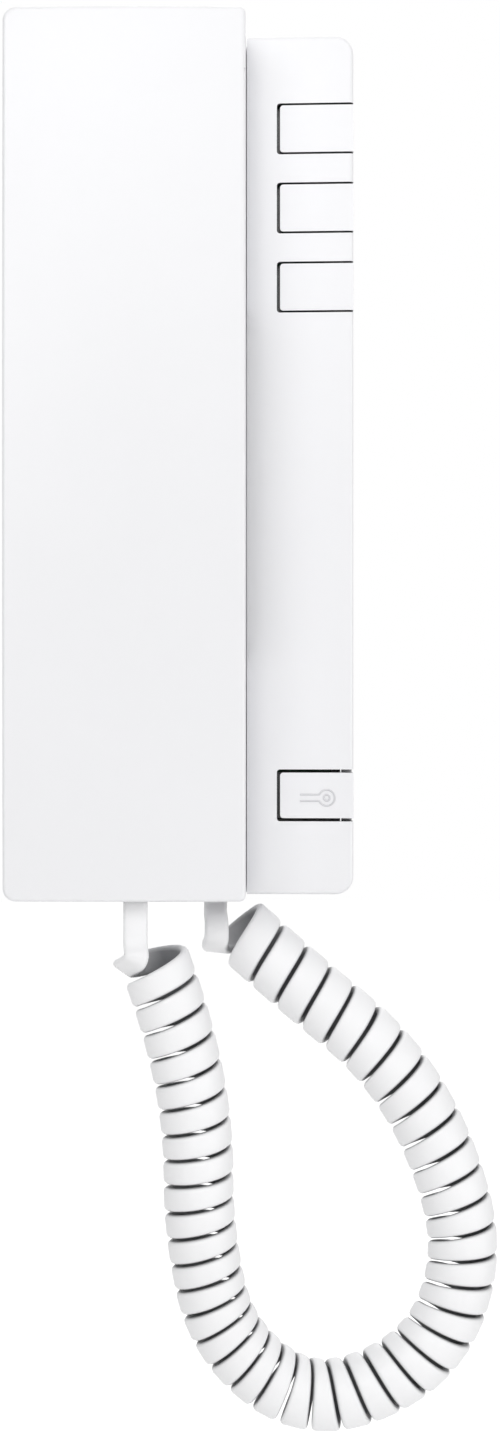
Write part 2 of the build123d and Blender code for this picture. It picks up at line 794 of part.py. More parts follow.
def ballast_weight():
    near = gripDepth + handsetWall
    half = ballastWidth / 2
    outline = rounded_patch(handsetX - half, handsetX + half, ballastBottom, ballastTop, ballastR)
    bar = prism(outline, near, near + ballastThickness)
    for z in ballast_posts():
        bar -= pin(handsetX, z, ballastPostR + snug, near, near + ballastThickness)
    return bar


def handset_screws():
    screws = []
    near = gripDepth + handsetScrewSink
    seat = near + handsetScrewHeadHeight
    for z in handset_screw_places():
        screw = pin(handsetX, z, handsetScrewHeadR, near, seat)
        screw += pin(handsetX, z, handsetScrewR, seat, seat + handsetScrewLength)
        slot = Pos(handsetX, z) * Rectangle(handsetScrewHeadR, terminalSlotWidth)
        screws.append((screw - prism(slot, 0, near + terminalSlotDeep)).solid())
    return Compound(children=screws)


# Radius of each rounded corner of a route: as large as its two runs allow
def corner_radii(points):
    radii = []
    for before, at, after in zip(points, points[1:], points[2:]):
        first = Vector(at) - Vector(before)
        second = Vector(after) - Vector(at)
        half_turn = math.radians(first.get_angle(second) / 2)
        radii.append(cornerShare * min(first.length, second.length) / math.tan(half_turn))
    return radii


def share_at(table, share):
    place = share * (len(table) - 1)
    i = min(int(place), len(table) - 2)
    return table[i] + (table[i + 1] - table[i]) * (place - i)


# Middle line of the coiled ribbon: each point, the coil's direction there and the way out from its axis
def coil_points(axis):
    count = round(coilTurns * coilSteps)
    weights = [share_at(pitchShares, (i + 0.5) / count) for i in range(count)]
    line, run = [], 0
    for i in range(count + 1):
        share = run / sum(weights)
        forward = axis.tangent_at(share)
        back = (Vector(0, 1, 0) - forward * forward.Y).normalized()
        angle = math.radians(coilStartAngle + 360 * i / coilSteps)
        outward = back * math.cos(angle) + forward.cross(back) * math.sin(angle)
        line.append((axis.position_at(share) + outward * coilR, forward, outward))
        run += weights[min(i, count - 1)]
    return line


# Each turn is as wide as the turns beside it leave room for, so the coil closes up inside its bends
def coil_sections(line):
    sections = []
    for i, (middle, forward, outward) in enumerate(line):
        ahead = line[i + coilSteps][0] - middle if i + coilSteps < len(line) else None
        behind = middle - line[i - coilSteps][0] if i >= coilSteps else forward * ahead.length
        ahead = ahead or forward * behind.length
        along = (ahead + behind).normalized()
        outward = (outward - along * outward.dot(along)).normalized()
        step = min(ahead.length, behind.length)
        sections.append((middle, along, outward, step - max(step * gapShare, narrowGap)))
    return sections


# Point at a share of a curve that leaves its first point and reaches its last, pulled by those between
def curve_point(pulls, share):
    if len(pulls) == 1:
        return pulls[0]
    return curve_point(pulls[:-1], share) * (1 - share) + curve_point(pulls[1:], share) * share


# Flat lead from a plug to the coil: straight out, then one bend that also turns it on edge
def lead_sections(exit_point, down, coil_end, coil_direction, side):
    start = exit_point + down * leadStraight
    end, along_end, _, width_end = coil_end
    pulls = [start, start + down * leadReach, end - coil_direction * coilReach, end]
    sections = [(exit_point, side, down.cross(side), leadWidth)]
    for i in range(leadSteps):
        t = i / leadSteps
        tangent = (curve_point(pulls[1:], t) - curve_point(pulls[:-1], t)).normalized()
        ease = t * t * (3 - 2 * t)
        along = side * (1 - ease) + along_end * ease
        along = (along - tangent * along.dot(tangent)).normalized()
        width = leadWidth + (width_end - leadWidth) * ease
        sections.append((curve_point(pulls, t), along, tangent.cross(along), width))
    return sections


def curly_cord():
    radii = corner_radii(coilRoute)
    print("radii of the coil's route, mm:", [round(r) for r in radii])
    axis = FilletPolyline(*coilRoute, radius=radii).wire()
    line = coil_points(axis)
    coil = coil_sections(line)
    first = lead_sections(
        Vector(handsetPlugX, -handsetPlugDepth, bottom),
        Vector(0, 0, -1),
        coil[0],
        (line[1][0] - line[0][0]).normalized(),
        Vector(1, 0, 0),
    )
    last = lead_sections(
        Vector(basePlugX, -basePlugDepth, bottom),
        Vector(0, 0, -1),
        coil[-1],
        (line[-2][0] - line[-1][0]).normalized(),
        Vector(-1, 0, 0),
    )
    # the second lead is drawn from its plug too, so it is turned about to follow the coil
    last = [(middle, along, -outward, width) for middle, along, outward, width in reversed(last)]
    sections = first + coil + last
    cord = ribbon(sections, ribbonThickness)
    print_cord(sections, coil, cord)
    return cord


def corners_of(section):
    middle, along, outward, width = section
    across = along * (width / 2)
    deep = outward * (ribbonThickness / 2)
    return [middle + across * i + deep * j for i in (-1, 1) for j in (-1, 1)]


def print_cord(sections, coil, cord):
    middles = [section[0] for section in sections]
    runs = [(b - a).length for a, b in zip(middles, middles[1:])]
    swept = sum(
        run * ribbonThickness * (a[3] + b[3]) / 2 for run, a, b in zip(runs, sections, sections[1:])
    )
    corners = [corners_of(section) for section in coil]
    gap = min(
        (a - b).length
        for i in range(len(coil) - coilSteps)
        for j in range(i + coilSteps - 1, min(i + coilSteps + 2, len(coil)))
        for a in corners[i]
        for b in corners[j]
    )
    print("cord length, mm:", round(sum(runs)))
    print("volume against section times length:", round(cord.volume / swept, 3))
    print("least gap between turns, mm:", round(gap, 2), "over", leastGap)


def all_parts():
    parts = {
        "front_cover": front_cover(),
        "wall_plate": wall_plate(),
        "cover_screw": cover_screw(),
        "circuit_board": circuit_board(),
        "board_screws": board_screws(),
        "push_switches": push_switches(),
        "hook_switch": hook_switch(),
        "hook_spring": hook_spring(),
        "hook_plunger": hook_plunger(),
        "call_sounder": sounder(),
        "terminal_block": terminal_block(),
        "terminal_screws": terminal_screws(),
        "base_socket": cord_socket(basePlugX, basePlugDepth, skinWall),
        "base_plug": cord_plug(basePlugX, basePlugDepth),
        "handset_front": handset_front(),
        "handset_rear": handset_rear(),
        "handset_screws": handset_screws(),
        "earpiece": earpiece(),
        "earpiece_foam": earpiece_foam(),
        "microphone": microphone(),
        "microphone_boot": microphone_boot(),
        "ballast_weight": ballast_weight(),
        "handset_socket": cord_socket(handsetPlugX, handsetPlugDepth, handsetWall),
        "handset_plug": cord_plug(handsetPlugX, handsetPlugDepth),
        "curly_cord": curly_cord(),
    }
    for name, z, height, _ in button_list():
        parts[name] = button_cap(z, height)
        parts[name.replace("button", "pin")] = switch_pin(z)
    return parts


os.makedirs("parts", exist_ok=True)
for node, shape in all_parts().items():
    export_step(shape, f"parts/{node}.step")
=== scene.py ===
import json
import math
import bmesh
import bpy
from mathutils import Matrix, Vector


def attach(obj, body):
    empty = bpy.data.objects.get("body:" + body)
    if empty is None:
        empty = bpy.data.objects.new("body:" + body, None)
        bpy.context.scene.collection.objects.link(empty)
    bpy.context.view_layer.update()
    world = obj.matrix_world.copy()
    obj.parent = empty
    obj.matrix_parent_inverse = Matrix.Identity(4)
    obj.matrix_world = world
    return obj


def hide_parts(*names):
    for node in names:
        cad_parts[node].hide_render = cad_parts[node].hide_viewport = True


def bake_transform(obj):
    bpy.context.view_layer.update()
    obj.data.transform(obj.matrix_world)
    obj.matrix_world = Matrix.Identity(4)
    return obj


# White audio door station on a wall: base, hanging handset and curly flat cord.
# Metres, +Z up, the wall is Y = 0 and the front looks to -Y.

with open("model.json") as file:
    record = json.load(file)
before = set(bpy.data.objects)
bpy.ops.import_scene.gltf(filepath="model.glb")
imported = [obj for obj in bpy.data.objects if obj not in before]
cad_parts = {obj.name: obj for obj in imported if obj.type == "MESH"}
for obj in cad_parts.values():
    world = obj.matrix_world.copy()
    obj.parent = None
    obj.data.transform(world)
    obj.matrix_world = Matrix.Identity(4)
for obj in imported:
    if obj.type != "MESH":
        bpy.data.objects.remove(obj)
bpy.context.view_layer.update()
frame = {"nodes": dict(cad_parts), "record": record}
bodies = frame["record"]["behaviour"]["bodies"]
bodyOfNode = {node: body for body, nodes in bodies.items() for node in nodes}
slotOfNode = {row["node"]: row["material_slot"] for row in frame["record"]["subparts"]}
mm = 0.001
print("stage: frame loaded,", len(slotOfNode), "nodes")


# Materials

def hexColour(code):
    parts = [int(code[i:i + 2], 16) / 255 for i in (1, 3, 5)]
    return [p / 12.92 if p <= 0.04045 else ((p + 0.055) / 1.055) ** 2.4 for p in parts] + [1.0]


def addNode(tree, kind, inputs=None, **settings):
    node = tree.nodes.new(kind)
    for name, value in settings.items():
        setattr(node, name, value)
    for name, value in (inputs or {}).items():
        if isinstance(value, bpy.types.NodeSocket):
            tree.links.new(value, node.inputs[name])
        else:
            node.inputs[name].default_value = value
    return node


def maths(tree, operation, *values):
    node = addNode(tree, "ShaderNodeMath", operation=operation)
    for socket, value in zip(node.inputs, values):
        if isinstance(value, bpy.types.NodeSocket):
            tree.links.new(value, socket)
        else:
            socket.default_value = value
    return node.outputs[0]


def startMaterial(name, finish):
    material = bpy.data.materials.new(name)
    material.use_nodes = True
    tree = material.node_tree
    tree.nodes.clear()
    shader = addNode(tree, "ShaderNodeBsdfPrincipled", {
        "Roughness": finish["roughness"],
        "Metallic": finish.get("metallic", 0.0),
        "IOR": finish["ior"],
    })
    addNode(tree, "ShaderNodeOutputMaterial", {"Surface": shader.outputs[0]})
    place = addNode(tree, "ShaderNodeTexCoord").outputs["Object"]
    return material, tree, shader, place


# Noise values at which a drifting tone has reached its shade and its full colour
driftStops = (0.35, 0.65)


def drift(tree, place, finish):
    noise = addNode(tree, "ShaderNodeTexNoise", {
        "Vector": place, "Scale": 1 / finish["driftSize"], "Detail": 3.0})
    ramp = addNode(tree, "ShaderNodeValToRGB", {"Fac": noise.outputs["Fac"]})
    colours = (finish["shade"], finish["colour"])
    for stop, spot, colour in zip(ramp.color_ramp.elements, driftStops, colours):
        stop.position = spot
        stop.color = hexColour(colour)
    return ramp.outputs["Color"]


def grain(tree, place, finish):
    noise = addNode(tree, "ShaderNodeTexNoise", {
        "Vector": place, "Scale": 1 / finish["grainSize"], "Detail": 2.0})
    bump = addNode(tree, "ShaderNodeBump", {
        "Height": noise.outputs["Fac"],
        "Distance": finish["grainDepth"],
        "Strength": finish["grainStrength"]})
    return bump.outputs["Normal"]


def dress(tree, shader, place, finish, tone):
    tree.links.new(tone, shader.inputs["Base Color"])
    tree.links.new(grain(tree, place, finish), shader.inputs["Normal"])


# Rays that feel how closed in a place is
gapSamples = 8


# Painted shade: the colour is darkened where little light gets back out of a narrow gap or a corner. This
# painted shade is for the part of the station to the right of where it begins
def paintedGapShade(tree, place, tone, paintedShade):
    reach = addNode(tree, "ShaderNodeAmbientOcclusion", {"Distance": paintedShade["reach"]}, samples=gapSamples)
    openness = addNode(tree, "ShaderNodeMapRange", {
        "Value": reach.outputs["AO"], "From Min": paintedShade["closed"], "From Max": paintedShade["open"]})
    across = addNode(tree, "ShaderNodeSeparateXYZ", {"Vector": place}).outputs["X"]
    before = addNode(tree, "ShaderNodeMapRange", {
        "Value": across, "From Min": paintedShade["from"] + paintedShade["fade"], "From Max": paintedShade["from"]})
    mixed = addNode(tree, "ShaderNodeMix", {
        "Factor": maths(tree, "MAXIMUM", openness.outputs["Result"], before.outputs["Result"]),
        "A": hexColour(paintedShade["colour"]),
        "B": tone}, data_type="RGBA")
    return mixed.outputs["Result"]


# Moulded ABS, rubber and foam: satin, with a fine spark-eroded grain that softens the highlights
def moulded(name, finish):
    material, tree, shader, place = startMaterial(name, finish)
    tone = drift(tree, place, finish)
    # painted shades in gaps and corners, where the finish lists them
    for paintedShade in finish.get("paintedShades", []):
        tone = paintedGapShade(tree, place, tone, paintedShade)
    dress(tree, shader, place, finish, tone)
    return material


# Extruded soft PVC: smooth and a little waxy; the side inside the coil gets a painted shade, a darker grey
def extrudedPvc(name, finish):
    material, tree, shader, place = startMaterial(name, finish)
    side = addNode(tree, "ShaderNodeAttribute", attribute_name="coilInsideShade").outputs["Fac"]
    tone = drift(tree, place, finish)
    mixed = addNode(tree, "ShaderNodeMix", {
        "Factor": side, "A": tone, "B": hexColour(finish["coilInsideShadeColour"])}, data_type="RGBA")
    tone = mixed.outputs["Result"]
    # painted shade in the gaps between the cord's turns
    for paintedShade in finish["paintedShades"]:
        tone = paintedGapShade(tree, place, tone, paintedShade)
    dress(tree, shader, place, finish, tone)
    return material


# Zinc-plated steel: pale, slightly cloudy metal
def platedSteel(name, finish):
    material, tree, shader, place = startMaterial(name, finish)
    dress(tree, shader, place, finish, drift(tree, place, finish))
    return material


# Glass-fibre laminate under solder mask: glossy green with tracks that show through as lighter lines
def boardLaminate(name, finish):
    material, tree, shader, place = startMaterial(name, finish)
    turned = addNode(tree, "ShaderNodeMapping", {"Vector": place, "Rotation": (math.pi / 2, 0, 0)})
    tracks = addNode(tree, "ShaderNodeTexBrick", {
        "Vector": turned.outputs["Vector"],
        "Color1": hexColour(finish["colour"]),
        "Color2": hexColour(finish["shade"]),
        "Mortar": hexColour(finish["track"]),
        "Scale": 1.0,
        "Brick Width": finish["trackRun"],
        "Row Height": finish["trackPitch"],
        "Mortar Size": finish["trackWidth"] / 2,
    })
    dress(tree, shader, place, finish, tracks.outputs["Color"])
    return material


finishes = {
    "white_abs": (moulded, {
        "colour": "#F3F3F5", "shade": "#F2F2F4", "roughness": 0.3, "ior": 1.54, "driftSize": 50 * mm,
        "grainSize": 0.45 * mm, "grainDepth": 0.03 * mm, "grainStrength": 0.35,
        "paintedShades": [
            # painted shadow beside the handset, which stands high over the column's face and keeps light
            # from it
            {"colour": "#E2E2E5", "reach": 6.0 * mm, "closed": 0.5, "open": 0.95,
             "from": 15.8 * mm, "fade": 0.1 * mm},
            # painted dark shade in the gaps round the buttons
            {"colour": "#2A2A2C", "reach": 3.0 * mm, "closed": 0.3, "open": 0.6,
             "from": 18 * mm, "fade": 3.0 * mm}]}),
    "grey_plastic": (moulded, {
        "colour": "#5A5C60", "shade": "#505256", "roughness": 0.5, "ior": 1.5, "driftSize": 20 * mm,
        "grainSize": 0.5 * mm, "grainDepth": 0.03 * mm, "grainStrength": 0.35}),
    "cord_pvc": (extrudedPvc, {
        "colour": "#FCFCFD", "shade": "#F9F9FA", "roughness": 0.46, "ior": 1.53, "driftSize": 30 * mm,
        # the grey for the inside of the coil is a painted shade
        "grainSize": 0.8 * mm, "grainDepth": 0.02 * mm, "grainStrength": 0.25, "coilInsideShadeColour": "#8C8D90",
        "paintedShades": [
            # painted shade in the gaps between the turns, all along the cord
            {"colour": "#66676A", "reach": 2.0 * mm, "closed": 0.24, "open": 0.9,
             "from": -60 * mm, "fade": 1.0 * mm}]}),
    "board_laminate": (boardLaminate, {
        "colour": "#1F5B38", "shade": "#1C5434", "roughness": 0.3, "ior": 1.55,
        "track": "#2F7A4C", "trackRun": 18 * mm, "trackPitch": 2.5 * mm, "trackWidth": 0.5 * mm,
        "grainSize": 0.6 * mm, "grainDepth": 0.02 * mm, "grainStrength": 0.2}),
    "terminal_green": (moulded, {
        "colour": "#3F8A5B", "shade": "#3A8254", "roughness": 0.48, "ior": 1.53, "driftSize": 20 * mm,
        "grainSize": 0.5 * mm, "grainDepth": 0.03 * mm, "grainStrength": 0.35}),
    "plated_steel": (platedSteel, {
        "colour": "#C9CBCE", "shade": "#B9BCC2", "roughness": 0.32, "ior": 1.5, "metallic": 1.0,
        "driftSize": 4 * mm, "grainSize": 0.3 * mm, "grainDepth": 0.01 * mm, "grainStrength": 0.3}),
    "black_rubber": (moulded, {
        "colour": "#1D1D1E", "shade": "#18181A", "roughness": 0.75, "ior": 1.52, "driftSize": 10 * mm,
        "grainSize": 0.4 * mm, "grainDepth": 0.05 * mm, "grainStrength": 0.35}),
    "grey_foam": (moulded, {
        "colour": "#4B4B4D", "shade": "#39393B", "roughness": 0.95, "ior": 1.45, "driftSize": 0.6 * mm,
        "grainSize": 0.5 * mm, "grainDepth": 0.3 * mm, "grainStrength": 0.35}),
}
materials = {slot: make(slot, finish) for slot, (make, finish) in finishes.items()}

# Raised lines of the sign: the same ABS, painted a grey shade so that the lines read darker, as shaded
# relief
shadedReliefMaterial = moulded("white_abs_relief_painted_shade", {
    "colour": "#DADADD", "shade": "#D4D4D7", "roughness": 0.36, "ior": 1.54, "driftSize": 4 * mm,
    "grainSize": 0.3 * mm, "grainDepth": 0.02 * mm, "grainStrength": 0.35})

for nodeName, node in frame["nodes"].items():
    node.data.materials.clear()
    node.data.materials.append(materials[slotOfNode[nodeName]])
print("stage: materials on all nodes")


# Pieces

def newPiece(name, mesh, slotName):
    mesh.name = name
    piece = bpy.data.objects.new(name, mesh)
    bpy.context.scene.collection.objects.link(piece)
    mesh.materials.clear()
    mesh.materials.append(materials[slotName])
    return piece


# The object as its modifiers leave it, made one plain mesh
def settle(piece):
    bpy.context.view_layer.update()
    result = bpy.data.meshes.new_from_object(piece.evaluated_get(bpy.context.evaluated_depsgraph_get()))
    piece.modifiers.clear()
    piece.data = result


shellFinish = {
    "mergeDistance": 0.002 * mm,
    "flatAngle": 0.05,  # degrees; triangles flatter than this to each other become one face
    "sharpAngle": 32,  # degrees; edges sharper than this are moulded edges
    "edgeRadius": 0.12 * mm,  # no moulded edge is knife sharp
    "edgeSegments": 2,
    "largeFaceWeight": 60,  # how far the large faces' shading rules at the broken edges
}

shells = {
    "coverShell": "front_cover",
    "handsetFrontShell": "handset_front",
    "handsetRearShell": "handset_rear",
    "callButtonTop": "call_button_1",
    "callButtonMiddle": "call_button_2",
    "callButtonBottom": "call_button_3",
    "doorButtonCap": "door_button",
    "hookPlunger": "hook_plunger",
}

# Front face of the button column, from its inner wall beside the handset to the station's right side.
# Depths are measured from the wall.
columnFace = {"innerX": 16.2 * mm, "innerDepth": 20.6 * mm, "outerX": 42.5 * mm, "outerDepth": 22.0 * mm}

seam = {
    "fromDepth": 13.9 * mm,  # just behind the cradle's floor
    "near": 0.05 * mm,
    "closeBy": 0.3 * mm,  # the real seam shows as a soft shade, so the wall comes this much nearer
}


def closeSeam(mesh):
    for vertex in mesh.vertices:
        if abs(vertex.co.x - columnFace["innerX"]) < seam["near"] and -vertex.co.y > seam["fromDepth"]:
            vertex.co.x -= seam["closeBy"]


# A moulding from its solid: loose triangles joined into whole faces, and every sharp edge just broken
def mouldedShell(name, nodeName, settings):
    mesh = frame["nodes"][nodeName].data.copy()
    if nodeName == "front_cover":
        closeSeam(mesh)
    form = bmesh.new()
    form.from_mesh(mesh)
    bmesh.ops.remove_doubles(form, verts=form.verts, dist=settings["mergeDistance"])
    bmesh.ops.dissolve_limit(
        form, angle_limit=math.radians(settings["flatAngle"]), verts=form.verts, edges=form.edges)
    for face in form.faces:
        face.smooth = True
    form.to_mesh(mesh)
    form.free()
    piece = newPiece(name, mesh, slotOfNode[nodeName])
    edge = piece.modifiers.new("brokenEdge", "BEVEL")
    edge.limit_method = "ANGLE"
    edge.angle_limit = math.radians(settings["sharpAngle"])
    edge.width = settings["edgeRadius"]
    edge.segments = settings["edgeSegments"]
    edge.use_clamp_overlap = True
    shade = piece.modifiers.new("evenShading", "WEIGHTED_NORMAL")
    shade.keep_sharp = True
    shade.weight = settings["largeFaceWeight"]
    settle(piece)
    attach(piece, bodyOfNode[nodeName])
    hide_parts(nodeName)


for shellName, nodeName in shells.items():
    mouldedShell(shellName, nodeName, shellFinish)
print("stage: shells")


# Key sign on the door button

keySign = {
    "bowX": 35.8 * mm,
    "bowZ": -82.9 * mm,
    "bowRadius": 2.0 * mm,
    "holeRadius": 0.75 * mm,
    "shaftHeight": 1.6 * mm,
    "shaftEnd": 29.2 * mm,
    "lineRadius": 0.22 * mm,
    "lineSteps": 3,
    "arcPoints": 28,
}


def faceDepth(x):
    face = columnFace
    slope = (face["outerDepth"] - face["innerDepth"]) / (face["outerX"] - face["innerX"])
    return face["innerDepth"] + slope * (x - face["innerX"])


def circlePoints(radius, turns):
    return [(radius * math.cos(turn), radius * math.sin(turn)) for turn in turns]


# The sign's lines, from its middle: the shaft's two sides run into the bow, and a ring lies inside that
def keyLines(sign):
    half = sign["shaftHeight"] / 2
    neck = math.asin(half / sign["bowRadius"])
    tip = sign["shaftEnd"] - sign["bowX"]
    shares = [i / sign["arcPoints"] for i in range(sign["arcPoints"] + 1)]
    bowTurn = math.tau - 2 * neck
    bow = circlePoints(sign["bowRadius"], [math.pi + neck + bowTurn * share for share in shares])
    ring = circlePoints(sign["holeRadius"], [math.tau * share for share in shares[:-1]])
    return [(tip, -half)] + bow + [(tip, half)], ring


def makeKeySign(sign):
    curve = bpy.data.curves.new("keySign", "CURVE")
    curve.dimensions = "3D"
    curve.bevel_depth = sign["lineRadius"]
    curve.bevel_resolution = sign["lineSteps"]
    curve.use_fill_caps = True
    key, ring = keyLines(sign)
    for line, closed in ((key, False), (ring, True)):
        spline = curve.splines.new("POLY")
        spline.points.add(len(line) - 1)
        spline.use_cyclic_u = closed
        for point, (x, z) in zip(spline.points, line):
            across = sign["bowX"] + x
            point.co = (across, -faceDepth(across), sign["bowZ"] + z, 1)
    drawn = bpy.data.objects.new("keySignCurve", curve)
    mesh = bpy.data.meshes.new_from_object(drawn)
    bpy.data.objects.remove(drawn)
    for polygon in mesh.polygons:
        polygon.use_smooth = True
    piece = newPiece("keySign", mesh, "white_abs")
    mesh.materials[0] = shadedReliefMaterial
    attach(piece, bodyOfNode["door_button"])


makeKeySign(keySign)
print("stage: key sign")


# Screws and spring, made by node trees

def nodeGroup(name, inputs):
    tree = bpy.data.node_groups.new(name, "GeometryNodeTree")
    tree.interface.new_socket("Geometry", in_out="INPUT", socket_type="NodeSocketGeometry")
    for inputName, kind in inputs.items():
        tree.interface.new_socket(inputName, in_out="INPUT", socket_type="NodeSocket" + kind)
    tree.interface.new_socket("Geometry", in_out="OUTPUT", socket_type="NodeSocketGeometry")
    return tree, addNode(tree, "NodeGroupInput").outputs


def finishTree(tree, given, geometry):
    real = addNode(tree, "GeometryNodeRealizeInstances", {"Geometry": geometry})
    dressed = addNode(tree, "GeometryNodeSetMaterial", {
        "Geometry": real.outputs["Geometry"], "Material": given["Material"]})
    addNode(tree, "NodeGroupOutput", {"Geometry": dressed.outputs["Geometry"]})
    return tree


def times(tree, a, b):
    return maths(tree, "MULTIPLY", a, b)


def vector(tree, **parts):
    return addNode(tree, "ShaderNodeCombineXYZ", parts).outputs[0]


def moved(tree, mesh, **parts):
    placed = addNode(tree, "GeometryNodeTransform", {
        "Geometry": mesh, "Translation": vector(tree, **parts)})
    return placed.outputs["Geometry"]


def onPoints(tree, given, instance):
    placed = addNode(tree, "GeometryNodeInstanceOnPoints", {
        "Points": given["Geometry"], "Instance": instance, "Rotation": given["Turn"]})
    return placed.outputs["Instances"]


# Corners that a round thing is drawn with
roundSteps = {"head": 32, "headRings": 16, "shank": 24, "springTurn": 32, "wire": 10}


# A screw on each point: a domed head with crossed slots cut into it, and its shank. The head is the upper
# half of a flattened ball, so a block wider than the ball takes the lower half away
def screwTree():
    tree, given = nodeGroup("screws", {
        "Head Radius": "Float", "Head Height": "Float", "Shank Radius": "Float", "Shank Length": "Float",
        "Slot Width": "Float", "Slot Depth": "Float", "Slot Length": "Float", "Cross Length": "Float",
        "Turn": "Rotation", "Material": "Material"})
    ball = addNode(tree, "GeometryNodeMeshUVSphere", {
        "Segments": roundSteps["head"], "Rings": roundSteps["headRings"], "Radius": 1.0})
    head = addNode(tree, "GeometryNodeTransform", {
        "Geometry": ball.outputs["Mesh"],
        "Scale": vector(tree, X=given["Head Radius"], Y=given["Head Radius"], Z=given["Head Height"])})
    blockWidth = times(tree, given["Head Radius"], 3.0)
    block = addNode(tree, "GeometryNodeMeshCube", {
        "Size": vector(tree, X=blockWidth, Y=blockWidth, Z=times(tree, given["Head Height"], 2.0))})
    lowered = moved(tree, block.outputs["Mesh"], Z=times(tree, given["Head Height"], -1.0))
    cut = addNode(tree, "GeometryNodeMeshBoolean", {
        "Mesh 1": head.outputs["Geometry"]}, operation="DIFFERENCE")
    tree.links.new(lowered, cut.inputs["Mesh 2"])
    for run, across in (("Slot Length", "Slot Width"), ("Slot Width", "Cross Length")):
        bar = addNode(tree, "GeometryNodeMeshCube", {
            "Size": vector(tree, X=given[run], Y=given[across], Z=times(tree, given["Slot Depth"], 2.0))})
        raised = moved(tree, bar.outputs["Mesh"], Z=given["Head Height"])
        tree.links.new(raised, cut.inputs["Mesh 2"])
    rod = addNode(tree, "GeometryNodeMeshCylinder", {
        "Vertices": roundSteps["shank"], "Radius": given["Shank Radius"], "Depth": given["Shank Length"]})
    shank = moved(tree, rod.outputs["Mesh"], Z=times(tree, given["Shank Length"], -0.5))
    both = addNode(tree, "GeometryNodeJoinGeometry")
    tree.links.new(cut.outputs["Mesh"], both.inputs["Geometry"])
    tree.links.new(shank, both.inputs["Geometry"])
    return finishTree(tree, given, onPoints(tree, given, both.outputs["Geometry"]))


# A round wire wound evenly from the origin along +Z, turned and moved to its seat
def springTree():
    tree, given = nodeGroup("spring", {
        "Radius": "Float", "Length": "Float", "Turns": "Float", "Wire Radius": "Float",
        "Turn": "Rotation", "Material": "Material"})
    coil = addNode(tree, "GeometryNodeCurveSpiral", {
        "Resolution": roundSteps["springTurn"], "Rotations": given["Turns"],
        "Start Radius": given["Radius"], "End Radius": given["Radius"], "Height": given["Length"]})
    wire = addNode(tree, "GeometryNodeCurvePrimitiveCircle", {
        "Resolution": roundSteps["wire"], "Radius": given["Wire Radius"]})
    swept = addNode(tree, "GeometryNodeCurveToMesh", {
        "Curve": coil.outputs["Curve"], "Profile Curve": wire.outputs["Curve"], "Fill Caps": True})
    return finishTree(tree, given, onPoints(tree, given, swept.outputs["Mesh"]))


def grownOnPoints(name, nodeName, tree, places, values):
    mesh = bpy.data.meshes.new(name)
    mesh.from_pydata(places, [], [])
    piece = bpy.data.objects.new(name, mesh)
    bpy.context.scene.collection.objects.link(piece)
    growth = piece.modifiers.new("growth", "NODES")
    growth.node_group = tree
    given = {**values, "Material": materials[slotOfNode[nodeName]]}
    for item in tree.interface.items_tree:
        if item.in_out == "INPUT" and item.name in given:
            growth[item.identifier] = given[item.name]
    settle(piece)
    for polygon in piece.data.polygons:
        polygon.use_smooth = True
    piece.data.set_sharp_from_angle(angle=math.radians(shellFinish["sharpAngle"]))
    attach(piece, bodyOfNode[nodeName])
    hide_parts(nodeName)


# Ways the +Z of a screw or spring is turned
toFront = (math.pi / 2, 0.0, 0.0)
toWall = (-math.pi / 2, 0.0, 0.0)
downwards = (math.pi, 0.0, 0.0)

handsetMiddle = -13.4 * mm

# Sizes of each screw, under the names of the tree's inputs
screwSets = {
    "handsetScrews": {
        "node": "handset_screws",
        "places": [(handsetMiddle, -29.0 * mm, z * mm) for z in (26.0, -36.0)],
        "turn": toWall,
        "sizes": {
            "Head Radius": 2.7 * mm, "Head Height": 1.6 * mm, "Shank Radius": 1.45 * mm,
            "Shank Length": 10.0 * mm, "Slot Width": 0.8 * mm, "Slot Depth": 0.9 * mm,
            "Slot Length": 3.2 * mm, "Cross Length": 3.2 * mm}},
    "boardScrews": {
        "node": "board_screws",
        "places": [(x * mm, -6.6 * mm, z * mm) for x in (-33.0, 33.0) for z in (94.0, -70.0)],
        "turn": toFront,
        "sizes": {
            "Head Radius": 2.5 * mm, "Head Height": 1.6 * mm, "Shank Radius": 1.25 * mm,
            "Shank Length": 5.0 * mm, "Slot Width": 0.7 * mm, "Slot Depth": 0.9 * mm,
            "Slot Length": 2.9 * mm, "Cross Length": 2.9 * mm}},
    "coverScrewDetail": {
        "node": "cover_screw",
        "places": [(-24.0 * mm, -7.0 * mm, -104.6 * mm)],
        "turn": downwards,
        "sizes": {
            "Head Radius": 2.8 * mm, "Head Height": 1.8 * mm, "Shank Radius": 1.5 * mm,
            "Shank Length": 9.2 * mm, "Slot Width": 0.8 * mm, "Slot Depth": 1.0 * mm,
            "Slot Length": 3.4 * mm, "Cross Length": 3.4 * mm}},
    "terminalScrews": {
        "node": "terminal_screws",
        "places": [(29.5 * mm, -13.2 * mm, (-39.5 + 5.0 * i) * mm) for i in range(8)],
        "turn": toFront,
        "sizes": {
            "Head Radius": 1.7 * mm, "Head Height": 1.2 * mm, "Shank Radius": 1.2 * mm,
            "Shank Length": 2.6 * mm, "Slot Width": 0.6 * mm, "Slot Depth": 0.7 * mm,
            "Slot Length": 3.6 * mm, "Cross Length": 0.6 * mm}},
}

hookSpring = {
    "seat": (handsetMiddle, -9.55 * mm, 54.5 * mm),
    "sizes": {"Radius": 1.9 * mm, "Length": 7.5 * mm, "Turns": 6.0, "Wire Radius": 0.25 * mm},
}

screws = screwTree()
for setName, kit in screwSets.items():
    grownOnPoints(setName, kit["node"], screws, kit["places"], {**kit["sizes"], "Turn": kit["turn"]})
grownOnPoints("hookSpringWire", "hook_spring", springTree(), [hookSpring["seat"]], {
    **hookSpring["sizes"], "Turn": toFront})
print("stage: screws and spring")


# Curly cord

